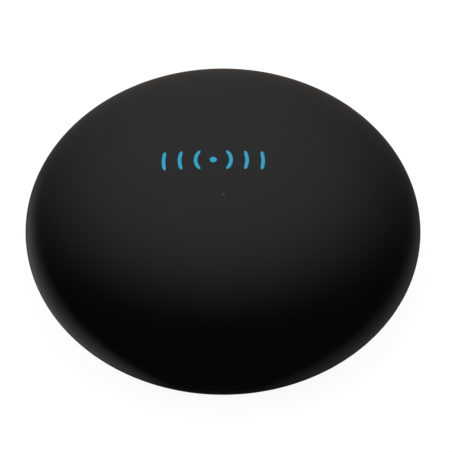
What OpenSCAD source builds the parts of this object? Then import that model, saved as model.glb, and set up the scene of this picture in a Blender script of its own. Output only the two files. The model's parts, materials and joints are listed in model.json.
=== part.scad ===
// A round tabletop infrared remote sender: a glossy dark cover that wraps round its widest line,
// a matt lower shell with a rubber foot ring underneath, a power socket and a reset button at the
// back, and a round circuit board inside with infrared emitters, a receiver and a radio module.
// The origin is on the table under the middle of the foot ring. The front is -Y, the socket is +Y.

/* [Body] */
// Widest diameter of the body
body_d = 70; // [68:1:80]
// Rise of the dome above the widest line
dome_h = 13; // [12.5:0.5:16]
// Depth of the underside below the widest line
base_drop = 9.2; // [9:0.1:10]
// Distance in from the widest line to the edge of the flat underside, seen from below
underside_in = 12; // [11.5:0.1:12.5]
// Depth of the seam between the two shells below the widest line
seam_drop = 3.6; // [3:0.1:3.6]
// Fullness of the outline: 2 is an ellipse, and more is squarer
body_power = 2.2; // [2.1:0.05:2.4]
// Wall thickness of both shells
wall = 2.2; // [2.1:0.1:2.4]
// Thickness of the lower shell's floor
floor_t = 2; // [1.8:0.1:2.2]
// Open line between the two shells at the seam
seam_gap = 0.12; // [0.08:0.02:0.3]
// Height of the lower shell's tongue above the seam, inside the cover
tongue_h = 1.5; // [1:0.1:2]
// Thickness of the tongue
tongue_t = 0.9; // [0.7:0.1:1]
// Clearance between pieces that go together
fit_gap = 0.1; // [0.05:0.01:0.15]

/* [Foot ring] */
// Land between the edge of the flat underside and the foot ring's groove
ring_margin = 1.7; // [1.5:0.1:2]
// Width of the foot ring, which covers the case screws
ring_w = 5.4; // [5.2:0.1:5.8]
// How far the foot ring stands out of the underside
ring_stand = 0.8; // [0.5:0.1:1.5]
// Depth of the groove that the foot ring is stuck in
groove_depth = 0.6; // [0.4:0.1:0.8]
// Chamfer on the foot ring's lower edges
ring_chamfer = 0.3; // [0.1:0.05:0.4]
// Land between the foot ring's groove and the bare shallow recess in the middle
recess_land = 1.7; // [1.5:0.1:3]
// Depth of that recess
recess_depth = 0.3; // [0.1:0.1:0.5]

/* [Power socket] */
// Width of the plug pocket in the wall
pocket_w = 12; // [11.6:0.2:12.6]
// Height of the plug pocket
pocket_h = 8.2; // [7.8:0.1:8.4]
// How far the pocket's middle lies below the socket's, which hides its upper edge from above
pocket_low = 0.4; // [0.3:0.1:0.6]
// Corner radius of the plug pocket
pocket_corner = 2.4; // [1.5:0.1:3]
// Depth of the plug pocket behind the widest point of the body
pocket_depth = 4.8; // [4.6:0.1:5]
// Thickness of the pocket's side walls
pocket_wall = 1.2; // [1:0.1:1.4]
// Thickness of the pocket's floor
pocket_floor_t = 1.2; // [0.9:0.1:1.4]
// Outside width of the socket's metal shell
usb_w = 7.5; // [7.3:0.1:7.8]
// Outside height of the socket's metal shell
usb_h = 2.6; // [2.4:0.1:2.8]
// Length of the socket
usb_l = 5.6; // [5.2:0.1:6]
// Sheet thickness of the socket's metal shell
usb_sheet = 0.3; // [0.25:0.05:0.35]
// Height of the sloping lower corners of the socket
usb_slope_h = 0.9; // [0.6:0.1:1.1]
// Sideways run of those corners
usb_slope_w = 0.8; // [0.5:0.1:1]
// Width of the tongue inside the socket
usb_tongue_w = 4.2; // [3.6:0.1:4.4]
// Thickness of that tongue
usb_tongue_t = 0.6; // [0.5:0.05:0.7]
// How far that tongue stops behind the mouth
usb_tongue_back = 0.7; // [0.4:0.1:1]
// Number of contacts in the socket
contacts_n = 5; // [5:1:5]
// Spacing of the contacts
contact_pitch = 0.65; // [0.6:0.01:0.7]
// Width of one contact
contact_w = 0.35; // [0.25:0.05:0.4]
// Thickness of one contact
contact_t = 0.12; // [0.08:0.02:0.16]

/* [Reset button] */
// Direction of the reset button, counted from +X towards the socket
reset_angle = 63; // [60:1:66]
// Diameter of the button's barrel
button_d = 4.4; // [4:0.1:4.6]
// Clearance round the barrel
button_gap = 0.15; // [0.1:0.05:0.2]
// How far the button's face is sunk below the widest point of the body
button_sink = 0.4; // [0.3:0.1:0.8]
// Diameter of the flange that keeps the button in
flange_d = 6.2; // [6:0.1:6.6]
// Thickness of that flange
flange_t = 0.8; // [0.6:0.1:0.9]
// Wall of the guide collar round the barrel
collar_wall = 1.2; // [1:0.1:1.4]
// How far the collar reaches in behind the inner wall
collar_in = 1.8; // [1.7:0.1:2]
// Diameter of the stem that meets the switch
stem_d = 2.4; // [2:0.1:2.8]
// Width of the shallow dish in the button's face
dish_d = 3.2; // [2.6:0.1:3.4]
// Depth of that dish
dish_depth = 0.2; // [0.1:0.05:0.3]
// Travel of the button
button_travel = 0.3; // [0.2:0.05:0.35]
// Width of the switch
switch_w = 6; // [5.6:0.1:6.4]
// Depth of the switch
switch_l = 3.4; // [3:0.1:3.6]
// Height of the switch
switch_h = 2.6; // [2.4:0.1:2.8]
// Thickness of the switch's metal cover
switch_sheet = 0.25; // [0.2:0.05:0.3]
// Diameter of the switch's plunger
plunger_d = 1.6; // [1.4:0.1:1.7]
// Length of the plunger outside the switch
plunger_out = 1.2; // [1:0.1:1.4]
// Length of the plunger inside the switch
plunger_in = 0.7; // [0.5:0.1:0.8]
// Width of the switch's solder legs
switch_leg_w = 0.7; // [0.5:0.1:0.9]
// Thickness of those legs
switch_leg_t = 0.25; // [0.2:0.05:0.3]
// Length of those legs outside the switch
switch_leg_out = 0.9; // [0.6:0.1:1.2]

/* [Screws] */
// Number of case screws
case_screws_n = 3; // [3:1:3]
// Diameter of a case screw
case_screw_d = 2; // [1.8:0.1:2.2]
// Length of a case screw under its head
case_screw_l = 9.6; // [9:0.2:10]
// Head diameter of a case screw
case_head_d = 4; // [3.6:0.1:4.2]
// Head height of a case screw
case_head_h = 1.4; // [1.2:0.1:1.6]
// Diameter of the screw pillars in the lower shell
pillar_d = 6.6; // [6.4:0.1:7]
// Plastic left over the screw head's counterbore
pillar_seat_t = 2.6; // [2.4:0.1:2.8]
// Diameter of the bosses that hang from the dome
boss_d = 5; // [4.8:0.1:5.4]
// Thickness of the ribs round a boss
boss_rib_t = 0.9; // [0.8:0.1:1.1]
// Reach of those ribs from the boss's middle
boss_rib_reach = 4.6; // [4.2:0.1:5]
// How far those ribs stop above the board
boss_rib_lift = 6; // [5:0.2:7]
// Clearance round a case screw's head
head_gap = 0.3; // [0.2:0.05:0.4]
// Diameter of a board screw
board_screw_d = 1.7; // [1.5:0.1:1.8]
// Length of a board screw under its head
board_screw_l = 4.6; // [4:0.1:5]
// Head diameter of a board screw
board_head_d = 3.2; // [3:0.1:3.6]
// Head height of a board screw
board_head_h = 1; // [0.8:0.1:1.2]
// Diameter of the board screws' posts in the lower shell
post_d = 4.6; // [4.4:0.1:5]
// Depth of the cross recess in a screw head
cross_depth = 0.7; // [0.4:0.1:0.8]
// Width of a bar of that cross
cross_w = 0.45; // [0.35:0.05:0.5]
// Length of a bar of that cross, as a share of the head's diameter
cross_share = 0.56; // [0.5:0.02:0.6]

/* [Circuit board] */
// Gap between the board's edge and the inside of the lower shell at the seam
board_edge_gap = 4.3; // [4.2:0.1:5]
// Thickness of the board
board_t = 1.6; // [1.5:0.1:1.8]
// Diameter of a drilled hole for one lead
drill_d = 0.9; // [0.85:0.05:1]
// Width of the square leads
lead_w = 0.5; // [0.4:0.05:0.55]
// Spacing of an emitter's two leads
lead_pitch = 2.54; // [2.4:0.01:2.6]
// How far the leads show under the board
lead_stub = 1.2; // [1:0.1:1.4]
// Width of the two locating notches in the board's edge
notch_w = 2.4; // [2:0.1:3]
// Depth of those notches
notch_depth = 1; // [0.8:0.1:1.2]

/* [Emitters and receiver] */
// Diameter of an emitter's lens
lens_d = 5; // [4.8:0.1:5]
// Length of an emitter from its back to the tip of its lens
lens_l = 8.6; // [8:0.1:8.8]
// Diameter of an emitter's rim
rim_d = 5.8; // [5.6:0.1:5.9]
// Thickness of an emitter's rim
rim_t = 1; // [0.8:0.1:1.2]
// Gap between a side emitter's tip and the inside of the dome at the seam
tip_gap = 1.8; // [1.7:0.1:2.4]
// How far a side emitter's rim clears the board
rim_lift = 0.1; // [0.1:0.05:0.2]
// Length of a side emitter's leads before they turn down
lead_run = 2.3; // [2:0.1:2.6]
// How far the upright emitters stand off the board
upright_lift = 0.8; // [0.6:0.1:1]
// Width of the receiver
receiver_w = 6.2; // [5.8:0.1:6.6]
// Depth of the receiver's body
receiver_l = 3; // [2.8:0.1:3.2]
// Height of the receiver's body
receiver_h = 7.4; // [7:0.1:7.8]
// Diameter of the receiver's lens
receiver_lens_d = 4.4; // [4:0.1:4.8]
// How far the receiver's lens stands out
receiver_lens_out = 1.5; // [1.2:0.1:1.8]
// How far the receiver stands off the board
receiver_lift = 1.2; // [1:0.1:1.4]

/* [Radio module] */
// Width of the radio module
radio_w = 16; // [15.6:0.1:16.2]
// Length of the radio module
radio_l = 20; // [19.6:0.1:20.2]
// Thickness of the radio module's board
radio_t = 0.8; // [0.8:0.1:1]
// Gap between the radio module's outer corners and the board's edge
radio_edge_gap = 0.4; // [0.4:0.1:0.6]
// Gap between the radio module and the pieces round it
module_gap = 1; // [0.8:0.1:1.2]
// Length of the bare antenna end of the module
antenna_l = 5.6; // [5.4:0.1:6]
// Height of the shield can over the module's board
shield_h = 1.9; // [1.6:0.1:2.2]
// Margin between the shield can and the module's edges
shield_margin = 1.3; // [1.2:0.1:1.5]
// Sheet thickness of the shield can
shield_sheet = 0.2; // [0.2:0.05:0.3]
// Number of long bars in the antenna's zigzag track
track_bars_n = 7; // [5:2:9]
// Width of the antenna's copper track
track_w = 0.6; // [0.5:0.05:0.7]
// Height of the antenna's copper track
track_t = 0.12; // [0.1:0.02:0.2]
// Number of edge contacts on each side of the module
edge_contacts_n = 8; // [6:1:9]
// Diameter of an edge contact's half hole
edge_contact_d = 0.9; // [0.8:0.05:1]
// Spacing of the edge contacts
edge_contact_pitch = 1.5; // [1.3:0.05:1.5]

/* [Small parts] */
// Diameter of the light guide
guide_d = 2; // [1.8:0.1:2.2]
// Wall of the light guide's holder under the dome
guide_wall = 1; // [0.8:0.1:1.2]
// Length of the light guide's holder
guide_hold = 3.4; // [3:0.1:4]
// Skin of the dome left over the light guide
guide_skin = 0.9; // [0.7:0.1:1.2]
// Gap between that holder and the receiver and the emitter beside it
guide_side_gap = 0.5; // [0.4:0.1:0.8]
// Gap between the light guide and the lamp under it
guide_lamp_gap = 0.3; // [0.2:0.1:0.5]
// Gap between a chip part and the piece that it stands beside
chip_gap = 0.4; // [0.3:0.1:0.5]
// Length, width and height of the status lamp
lamp_size = [1.6, 0.8, 0.6];
// Diameter of the bulk capacitor
can_d = 6.3; // [6:0.1:6.5]
// Height of the bulk capacitor's can
can_h = 5; // [4:0.1:5.4]
// Height of the bulk capacitor's plastic foot
can_foot_h = 0.7; // [0.6:0.1:0.9]
// Length, width and height of the voltage regulator
regulator_size = [6.4, 3.5, 1.6];
// Length, width and height of a driver transistor
transistor_size = [2.9, 1.3, 1.0];
// Length, width and height of an emitter's resistor
resistor_size = [2.0, 1.25, 0.5];
// Length, width and height of a ceramic capacitor
ceramic_size = [1.6, 0.8, 0.8];
// Width of a chip part's end cap
end_cap_w = 0.35; // [0.25:0.05:0.4]
// Height of a flat lead on a chip part
chip_lead_t = 0.2; // [0.15:0.05:0.25]
// Width of a flat lead on a driver transistor
chip_lead_w = 0.4; // [0.35:0.05:0.5]
// How far a flat lead stands out
chip_lead_out = 0.6; // [0.5:0.1:0.8]

/* [Hidden] */
$fn = 96;
// Steps of an outline curve over a quarter turn
curve_steps = 24;
// Steps of a lens's rounded end
lens_steps = 10;
// Overrun of all cuts
over = 1;

body_r = body_d / 2;
inner_r = body_r - wall;
seat_z = ring_stand;
wide_z = seat_z + base_drop;
seam_z = wide_z - seam_drop;
floor_z = seat_z + floor_t;

// The whole depth of the lower curve, which the underside cuts off flat
underside_r = body_r - underside_in;
belly_h = base_drop / sqrt(1 - pow(underside_r / body_r, body_power));

board_top = wide_z - usb_h / 2;
board_bottom = board_top - board_t;
board_r = inner_r - board_edge_gap;

// The tongue that stands inside the cover's wall
tongue_out_r = inner_r - fit_gap;
tongue_in_r = tongue_out_r - tongue_t;

// The underside's rings
ring_groove_w = ring_w + 2 * fit_gap;
ring_mid_r = underside_r - ring_margin - ring_groove_w / 2;
recess_r = ring_mid_r - ring_groove_w / 2 - recess_land;

// Directions round the vertical axis, counted from +X
socket_angle = 90;
screw_angles = [for (i = [0:case_screws_n - 1]) socket_angle + i * 360 / case_screws_n];
post_angles = [20, 160];
notch_angles = [110, 250];
rib_angles = [30, 60, 120, 150, 210, 240, 300, 330];

// Radii from the vertical axis
post_r = board_r - post_d;
tip_r = inner_r - tip_gap;
back_r = tip_r - lens_l;
side_hole_r = back_r - lead_run + lead_w / 2;

// Places on the board as shares of the board's radius: X then Y, or Y alone
can_share = [-0.27, 0.58];
regulator_share = [0.27, 0.53];
transistor_share = [0, 0.36];
ceramic_shares = [[-0.25, 0.79], [0.19, 0.75], [0.28, 0.38], [-0.16, 0.36]];
upright_side_share = 0.21;

// The power socket, centred on the widest line, and the plug pocket round it
pocket_mid_z = wide_z - pocket_low;
pocket_floor_y = body_r - pocket_depth;
pocket_back_y = pocket_floor_y - pocket_floor_t;
usb_back_y = pocket_floor_y - usb_l;
slot_w = usb_w + 2 * fit_gap;
slot_top_z = board_top + usb_h + fit_gap;
usb_inner_h = usb_h - 2 * usb_sheet;
usb_tongue_z = usb_h / 2 - usb_sheet - usb_inner_h / 2;
usb_block_l = usb_l / 4;

// The reset button, along its own direction
button_face_r = body_r - button_sink;
collar_r = inner_r - collar_in;
flange_out_r = collar_r - fit_gap;
flange_in_r = flange_out_r - flange_t;
button_mid_z = board_top + switch_h / 2;
collar_d = button_d + 2 * (button_gap + collar_wall);
switch_out_r = board_r - switch_leg_out;
plunger_tip_r = switch_out_r + plunger_out;
touch_gap = fit_gap / 2;
stem_in_r = plunger_tip_r + touch_gap;
plunger_bore_d = plunger_d + 2 * fit_gap;
plunger_bore_l = plunger_in + 2 * button_travel;

// The screws, from the table up
case_seat_z = board_bottom - pillar_seat_t;
case_bore_d = case_screw_d + 2 * fit_gap;
counterbore_d = case_head_d + 2 * head_gap;
case_tip_z = case_seat_z + case_screw_l;
board_bore_d = board_screw_d + 2 * fit_gap;
board_tip_z = board_top - board_screw_l;

// The side emitters' axes, and the radio module as far out as its corners allow
side_mid_z = board_top + rim_d / 2 + rim_lift;
radio_out_y = sqrt(pow(board_r - radio_edge_gap, 2) - pow(radio_w / 2, 2));
radio_mid_y = -radio_out_y + radio_l / 2;
shield_l = radio_l - antenna_l - shield_margin;
shield_mid_y = -radio_out_y + antenna_l + shield_l / 2;

// The side emitters: the two in front stand as near to the radio module as their leads allow, and
// each one's resistor is on the side that its turn gives, counted round the vertical axis
front_lead = [side_hole_r - lead_w, lead_pitch / 2 + lead_w / 2];
front_angle = acos((radio_w / 2 + chip_gap) / norm(front_lead)) - atan(front_lead[1] / front_lead[0]);
side_angles = [0, 40, 140, 180, 180 + front_angle, 360 - front_angle];
resistor_turns = [-1, -1, 1, 1, -1, 1];
resistor_r = back_r + resistor_size[0];
resistor_off = rim_d / 2 + chip_gap + resistor_size[1] / 2;

// The pieces beside the radio module, and behind it on both sides of the light guide
beside_x = radio_w / 2 + module_gap;
behind_y = radio_l - radio_out_y + module_gap;
guide_side = guide_d / 2 + fit_gap + guide_wall + guide_side_gap;
receiver_xy = [-guide_side - receiver_w / 2, behind_y + receiver_lens_out + receiver_l / 2];
lamp_xy = [0, receiver_xy[1]];
upright_xys = [[-beside_x - rim_d / 2, upright_side_share * board_r],
    [beside_x + rim_d / 2, upright_side_share * board_r], [guide_side + rim_d / 2, behind_y + rim_d / 2]];
upright_resistor_offs = [[rim_d / 2 + chip_gap / 2, rim_d / 2 + chip_gap / 2],
    [-rim_d / 2 - chip_gap / 2, rim_d / 2 + chip_gap / 2], [0, resistor_off]];
transistor_side_y = ring_mid_r * sin(screw_angles[1]) + boss_d / 2 + chip_gap + chip_lead_out
    + transistor_size[1] / 2;
transistor_xys = concat([transistor_share * board_r],
    [for (side = [-1, 1]) [side * (beside_x + transistor_size[0] / 2), transistor_side_y]]);
ceramic_xys = concat([for (s = ceramic_shares) s * board_r],
    [for (side = [-1, 1]) receiver_xy + [side * (ceramic_size[0] + chip_gap) / 2,
        receiver_l / 2 + chip_gap + ceramic_size[1] / 2]]);

// The light guide, from the lamp up to the dome's skin
guide_low_z = board_top + lamp_size[2] + guide_lamp_gap;
guide_top_z = wide_z + dome_rise(norm(lamp_xy) + guide_d / 2) - guide_skin;
guide_hold_z = guide_top_z - wall - guide_hold;

// Height of the dome over the widest line at a distance r from the axis
function dome_rise(r) = dome_h * sqrt(1 - pow(r / body_r, body_power));

// Points of a body curve from one angle to another, half wide and rise high
function body_curve(half, rise, from, to) =
    let (steps = ceil(curve_steps * (to - from) / 90))
    [for (i = [0:steps])
        let (t = from + (to - from) * i / steps)
        [half * pow(cos(t), 2 / body_power), rise * sin(t)]];

// Points of a lens's rounded end, from its rim to its tip
function quarter_round(half, rise, shoulder = 0) = [for (i = [0:lens_steps])
    let (t = 90 * i / lens_steps)
    [half * cos(t), shoulder + rise * sin(t)]];

// Puts its children on the direction a, at a distance r from the axis
module around(a, r = 0) {
    rotate([0, 0, a]) translate([r, 0, 0]) children();
}

// Turns an outline in X and Y, drawn upright, so that it is extruded outwards along +X
module outwards(from, length) {
    translate([from, 0, 0]) rotate([90, 0, 90]) linear_extrude(length) children();
}

module round_rod(from, to, d) {
    translate([from, 0, 0]) rotate([0, 90, 0]) cylinder(h = to - from, d = d);
}

module post(z0, z1, d) {
    translate([0, 0, z0]) cylinder(h = z1 - z0, d = d);
}

module block(size) {
    translate([-size[0] / 2, -size[1] / 2, 0]) cube(size);
}

module rounded_rect(w, h, r) {
    square([w - 2 * r, h], center = true);
    square([w, h - 2 * r], center = true);
    for (x = [-1, 1], y = [-1, 1])
        translate([x * (w / 2 - r), y * (h / 2 - r)]) circle(r = r);
}

// The cover's outside as a solid, from the seam over the widest line to the top
module cover_solid() {
    dome = body_curve(body_r, dome_h, 0, 90);
    translate([0, 0, wide_z])
        rotate_extrude()
            polygon(concat([[0, -seam_drop]], body_curve(body_r, belly_h, -asin(seam_drop / belly_h), 0),
                [for (i = [1:len(dome) - 1]) dome[i]]));
}

// The space inside the cover: straight below the widest line, so that the mould's core comes out
module cover_space() {
    translate([0, 0, wide_z])
        rotate_extrude()
            polygon(concat([[0, -seam_drop - over], [inner_r, -seam_drop - over]],
                body_curve(inner_r, dome_h - wall, 0, 90)));
}

// The lower curve as a solid from a low drop to a high one, and then straight up by lift
module belly_solid(inset, low, high, lift = 0) {
    depth = belly_h - inset;
    curve = body_curve(body_r - inset, depth, -asin(low / depth), -asin(high / depth));
    rim_r = curve[len(curve) - 1][0];
    translate([0, 0, wide_z])
        rotate_extrude()
            polygon(concat([[0, -low]], curve, lift > 0 ? [[rim_r, lift - high]] : [], [[0, lift - high]]));
}

module band(z0, z1, r0, r1) {
    difference() {
        post(z0, z1, 2 * r1);
        post(z0 - over, z1 + over, 2 * r0);
    }
}

// The outside of the walls round the plug pocket
module pocket_block(grow = 0) {
    translate([0, 0, pocket_mid_z])
        rotate([0, 0, socket_angle])
            outwards(pocket_back_y - grow, body_r - pocket_back_y + grow)
                rounded_rect(pocket_w + 2 * (pocket_wall + grow), pocket_h + 2 * (pocket_wall + grow),
                    pocket_corner + pocket_wall + grow);
}

module pocket_cut() {
    translate([0, 0, pocket_mid_z])
        rotate([0, 0, socket_angle])
            outwards(pocket_floor_y, pocket_depth + over)
                rounded_rect(pocket_w, pocket_h, pocket_corner);
}

// The slot in the pocket's floor that the cover slides down over the socket with
module socket_slot() {
    rotate([0, 0, socket_angle])
        translate([pocket_back_y - over, -slot_w / 2, seam_z - over])
            cube([pocket_floor_t + 2 * over, slot_w, slot_top_z - seam_z + over]);
}

// The lower shell's sill that closes the slot up to the socket
module socket_sill() {
    rotate([0, 0, socket_angle])
        translate([pocket_back_y, -usb_w / 2, seam_z - wall])
            cube([pocket_floor_t, usb_w, board_top - fit_gap - seam_z + wall]);
}

// The guide collar round the reset button
module collar_block(grow = 0) {
    around(reset_angle) translate([0, 0, button_mid_z])
        round_rod(collar_r - grow, body_r, collar_d + 2 * grow);
}

module collar_cut() {
    around(reset_angle) translate([0, 0, button_mid_z])
        round_rod(collar_r - over, body_r + over, button_d + 2 * button_gap);
}

// The boss for a case screw, hanging from the dome to the board, with four ribs at its root
module case_boss() {
    post(board_top, wide_z + dome_h, boss_d);
    for (a = [0, 90])
        rotate([0, 0, a]) translate([0, 0, board_top + boss_rib_lift])
            block([2 * boss_rib_reach, boss_rib_t, dome_h]);
}

module top_cover() {
    color("#17171a") difference() {
        cover_solid();
        difference() {
            cover_space();
            for (a = screw_angles) around(a, ring_mid_r) case_boss();
            pocket_block();
            collar_block();
            translate(lamp_xy) post(guide_hold_z, wide_z + dome_h, guide_d + 2 * (fit_gap + guide_wall));
        }
        pocket_cut();
        socket_slot();
        collar_cut();
        for (a = screw_angles) around(a, ring_mid_r)
            post(board_top - over, case_tip_z + over, case_bore_d);
        translate(lamp_xy) post(guide_low_z, guide_top_z, guide_d + 2 * fit_gap);
    }
}

// A rib of the lower shell that stands in one of the board's notches
module locating_rib() {
    translate([board_r - notch_depth + fit_gap, -notch_w / 2 + fit_gap, seat_z])
        cube([wall + board_edge_gap, notch_w - 2 * fit_gap, board_top - seat_z]);
}

// A low rib that runs out from the middle of the floor to the wall
module floor_rib() {
    translate([recess_r, -boss_rib_t / 2, seat_z])
        cube([inner_r - recess_r, boss_rib_t, floor_t + wall / 2]);
}

module case_pillar() {
    post(seat_z, board_bottom, pillar_d);
}

module case_pillar_cut() {
    post(seat_z - over, case_seat_z, counterbore_d);
    post(case_seat_z - over, board_bottom + over, case_bore_d);
}

module base_shell() {
    color("#202023") difference() {
        union() {
            difference() {
                belly_solid(0, base_drop, seam_drop + seam_gap);
                belly_solid(wall, base_drop - floor_t, seam_drop, over);
            }
            intersection() {
                belly_solid(wall / 2, base_drop - floor_t / 2, seam_drop, seam_drop);
                union() {
                    for (a = screw_angles) around(a, ring_mid_r) case_pillar();
                    for (a = post_angles) around(a, post_r) post(seat_z, board_bottom, post_d);
                    for (a = notch_angles) around(a) locating_rib();
                    for (a = rib_angles) around(a) floor_rib();
                    band(seat_z, floor_z + wall / 2, recess_r - boss_rib_t, recess_r);
                }
            }
            intersection() {
                belly_solid(wall / 2, base_drop - floor_t / 2, seam_drop + seam_gap);
                pocket_block();
            }
            difference() {
                band(seam_z - 2 * seam_gap, seam_z + tongue_h, tongue_in_r, tongue_out_r);
                pocket_block(fit_gap);
                collar_block(fit_gap);
            }
            socket_sill();
        }
        pocket_cut();
        for (a = screw_angles) around(a, ring_mid_r) case_pillar_cut();
        for (a = post_angles) around(a, post_r)
            post(board_tip_z - over, board_bottom + over, board_bore_d);
        band(seat_z - over, seat_z + groove_depth,
            ring_mid_r - ring_groove_w / 2, ring_mid_r + ring_groove_w / 2);
        post(seat_z - over, seat_z + recess_depth, 2 * recess_r);
    }
}

module foot_ring() {
    half = ring_w / 2;
    top = seat_z + groove_depth;
    color("#2b2b2e") rotate_extrude() translate([ring_mid_r, 0])
        polygon([[-half + ring_chamfer, 0], [half - ring_chamfer, 0], [half, ring_chamfer],
            [half, top], [-half, top], [-half, ring_chamfer]]);
}

// A pan-head screw that points up from its head's seat at the origin
module screw(d, length, head_d, head_h) {
    difference() {
        union() {
            cylinder(h = length, d = d);
            translate([0, 0, -head_h]) cylinder(h = head_h, d1 = head_d * cross_share + d / 2, d2 = head_d);
        }
        for (a = [0, 90])
            rotate([0, 0, a]) translate([0, 0, -head_h - over])
                block([head_d * cross_share, cross_w, cross_depth + over]);
    }
}

module case_screws() {
    color("#b9bcc0") for (a = screw_angles) around(a, ring_mid_r) translate([0, 0, case_seat_z])
        screw(case_screw_d, case_screw_l, case_head_d, case_head_h);
}

module board_screws() {
    color("#b9bcc0") for (a = post_angles) around(a, post_r)
        translate([0, 0, board_top]) mirror([0, 0, 1])
            screw(board_screw_d, board_screw_l, board_head_d, board_head_h);
}

module board_hole(d) {
    post(board_bottom - over, board_top + over, d);
}

// Holes for an emitter's two leads, with the pair across +X
module lead_holes() {
    for (y = [-1, 1]) translate([0, y * lead_pitch / 2, 0]) board_hole(drill_d);
}

module main_board() {
    color("#1d5b34") difference() {
        post(board_bottom, board_top, 2 * board_r);
        for (a = screw_angles) around(a, ring_mid_r) board_hole(case_bore_d);
        for (a = post_angles) around(a, post_r) board_hole(board_bore_d);
        for (a = side_angles) around(a, side_hole_r) lead_holes();
        for (xy = upright_xys) translate(xy) lead_holes();
        translate(receiver_xy)
            for (x = [-1, 0, 1]) translate([x * lead_pitch, 0, 0]) board_hole(drill_d);
        for (a = notch_angles) around(a, board_r - notch_depth)
            translate([0, -notch_w / 2, board_bottom - over])
                cube([notch_depth + over, notch_w, board_t + 2 * over]);
    }
}

// One emitter that points along +Z from its back at the origin, with the flat on its rim
module emitter() {
    r = lens_d / 2;
    flat = (rim_d - lens_d) / 2;
    color("#46505c") difference() {
        rotate_extrude() polygon(concat([[0, 0], [rim_d / 2, 0], [rim_d / 2, rim_t], [r, rim_t]],
            quarter_round(r, r, lens_l - r)));
        translate([r, -rim_d / 2, -over]) cube([flat + over, rim_d, rim_t + over]);
    }
}

module side_emitter(i) {
    around(side_angles[i], back_r) translate([0, 0, side_mid_z])
        rotate([0, 90, 0]) rotate([0, 0, 180]) emitter();
}

module upright_emitter(i) {
    translate(upright_xys[i]) translate([0, 0, board_top + upright_lift]) emitter();
}

// The pair of square leads of one side emitter: back from its rim, then down through the board
module side_leads() {
    for (y = [-1, 1]) translate([0, y * lead_pitch / 2 - lead_w / 2, 0]) {
        translate([-lead_run, 0, side_mid_z - lead_w / 2]) cube([lead_run, lead_w, lead_w]);
        translate([-lead_run, 0, board_bottom - lead_stub])
            cube([lead_w, lead_w, side_mid_z + lead_w / 2 - board_bottom + lead_stub]);
    }
}

module straight_lead(top) {
    translate([0, 0, board_bottom - lead_stub]) block([lead_w, lead_w, top - board_bottom + lead_stub]);
}

module side_emitter_leads() {
    color("#c8c9cc") for (a = side_angles) around(a, back_r) side_leads();
}

module upright_emitter_leads() {
    color("#c8c9cc") for (xy = upright_xys, y = [-1, 1])
        translate(xy) translate([0, y * lead_pitch / 2, 0])
            straight_lead(board_top + upright_lift);
}

module ir_receiver() {
    lens_z = receiver_h - receiver_lens_d / 2 - receiver_lens_out / 2;
    r = receiver_lens_d / 2;
    color("#26262a") translate(receiver_xy) translate([0, 0, board_top + receiver_lift]) {
        block([receiver_w, receiver_l, receiver_h]);
        translate([0, -receiver_l / 2, lens_z]) rotate([90, 0, 0])
            rotate_extrude() polygon(concat([[0, -receiver_l / 2], [r, -receiver_l / 2]],
                quarter_round(r, receiver_lens_out)));
    }
}

module ir_receiver_leads() {
    color("#c8c9cc") translate(receiver_xy)
        for (x = [-1, 0, 1]) translate([x * lead_pitch, 0, 0]) straight_lead(board_top + receiver_lift);
}

module radio_board() {
    first = -radio_out_y + radio_l - shield_margin - edge_contact_d;
    color("#14406b") difference() {
        translate([0, radio_mid_y, board_top]) block([radio_w, radio_l, radio_t]);
        for (x = [-1, 1], i = [0:edge_contacts_n - 1])
            translate([x * radio_w / 2, first - i * edge_contact_pitch, 0])
                post(board_top - over, board_top + radio_t + over, edge_contact_d);
    }
}

module radio_shield() {
    w = radio_w - 2 * shield_margin;
    z = board_top + radio_t;
    color("#aeb2b5") difference() {
        translate([0, shield_mid_y, z]) block([w, shield_l, shield_h]);
        translate([0, shield_mid_y, z - over])
            block([w - 2 * shield_sheet, shield_l - 2 * shield_sheet, shield_h - shield_sheet + over]);
    }
}

// The antenna's zigzag copper track: bars along Y, joined at alternate ends
module radio_antenna() {
    pitch = (radio_w - 2 * shield_margin) / (track_bars_n - 1);
    length = antenna_l - 2 * shield_margin;
    low_x = -pitch * (track_bars_n - 1) / 2 - track_w / 2;
    low_y = -radio_out_y + shield_margin;
    color("#b8743a") translate([low_x, low_y, board_top + radio_t]) {
        for (i = [0:track_bars_n - 1])
            translate([i * pitch, 0, 0]) cube([track_w, length, track_t]);
        for (i = [0:track_bars_n - 2])
            translate([i * pitch, i % 2 == 0 ? length - track_w : 0, 0])
                cube([pitch + track_w, track_w, track_t]);
    }
}

// Outline of the socket: wide above, with two sloping lower corners
module socket_outline(shrink = 0) {
    w = usb_w / 2 - shrink;
    h = usb_h / 2 - shrink;
    polygon([[-w, h], [w, h], [w, -h + usb_slope_h], [w - usb_slope_w, -h], [-w + usb_slope_w, -h],
        [-w, -h + usb_slope_h]]);
}

module along_socket(from, length) {
    rotate([0, 0, socket_angle]) translate([0, 0, wide_z]) outwards(from, length) children();
}

module usb_shell() {
    color("#c4c6c8") difference() {
        along_socket(usb_back_y, usb_l) socket_outline();
        along_socket(usb_back_y - over, usb_l + 2 * over) socket_outline(usb_sheet);
    }
}

// The block that closes the socket's back, and the tongue that carries the contacts
module usb_tongue() {
    color("#1c1c1e") {
        along_socket(usb_back_y, usb_block_l) socket_outline(usb_sheet + fit_gap / 2);
        along_socket(usb_back_y + usb_block_l / 2, usb_l - usb_block_l / 2 - usb_tongue_back)
            translate([-usb_tongue_w / 2, usb_tongue_z]) square([usb_tongue_w, usb_tongue_t]);
    }
}

module usb_contacts() {
    color("#d6b25a") for (i = [0:contacts_n - 1])
        along_socket(usb_back_y + usb_block_l, usb_l - usb_block_l - 2 * usb_tongue_back)
            translate([(i - (contacts_n - 1) / 2) * contact_pitch, usb_tongue_z - contact_t / 2])
                square([contact_w, contact_t], center = true);
}

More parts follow.
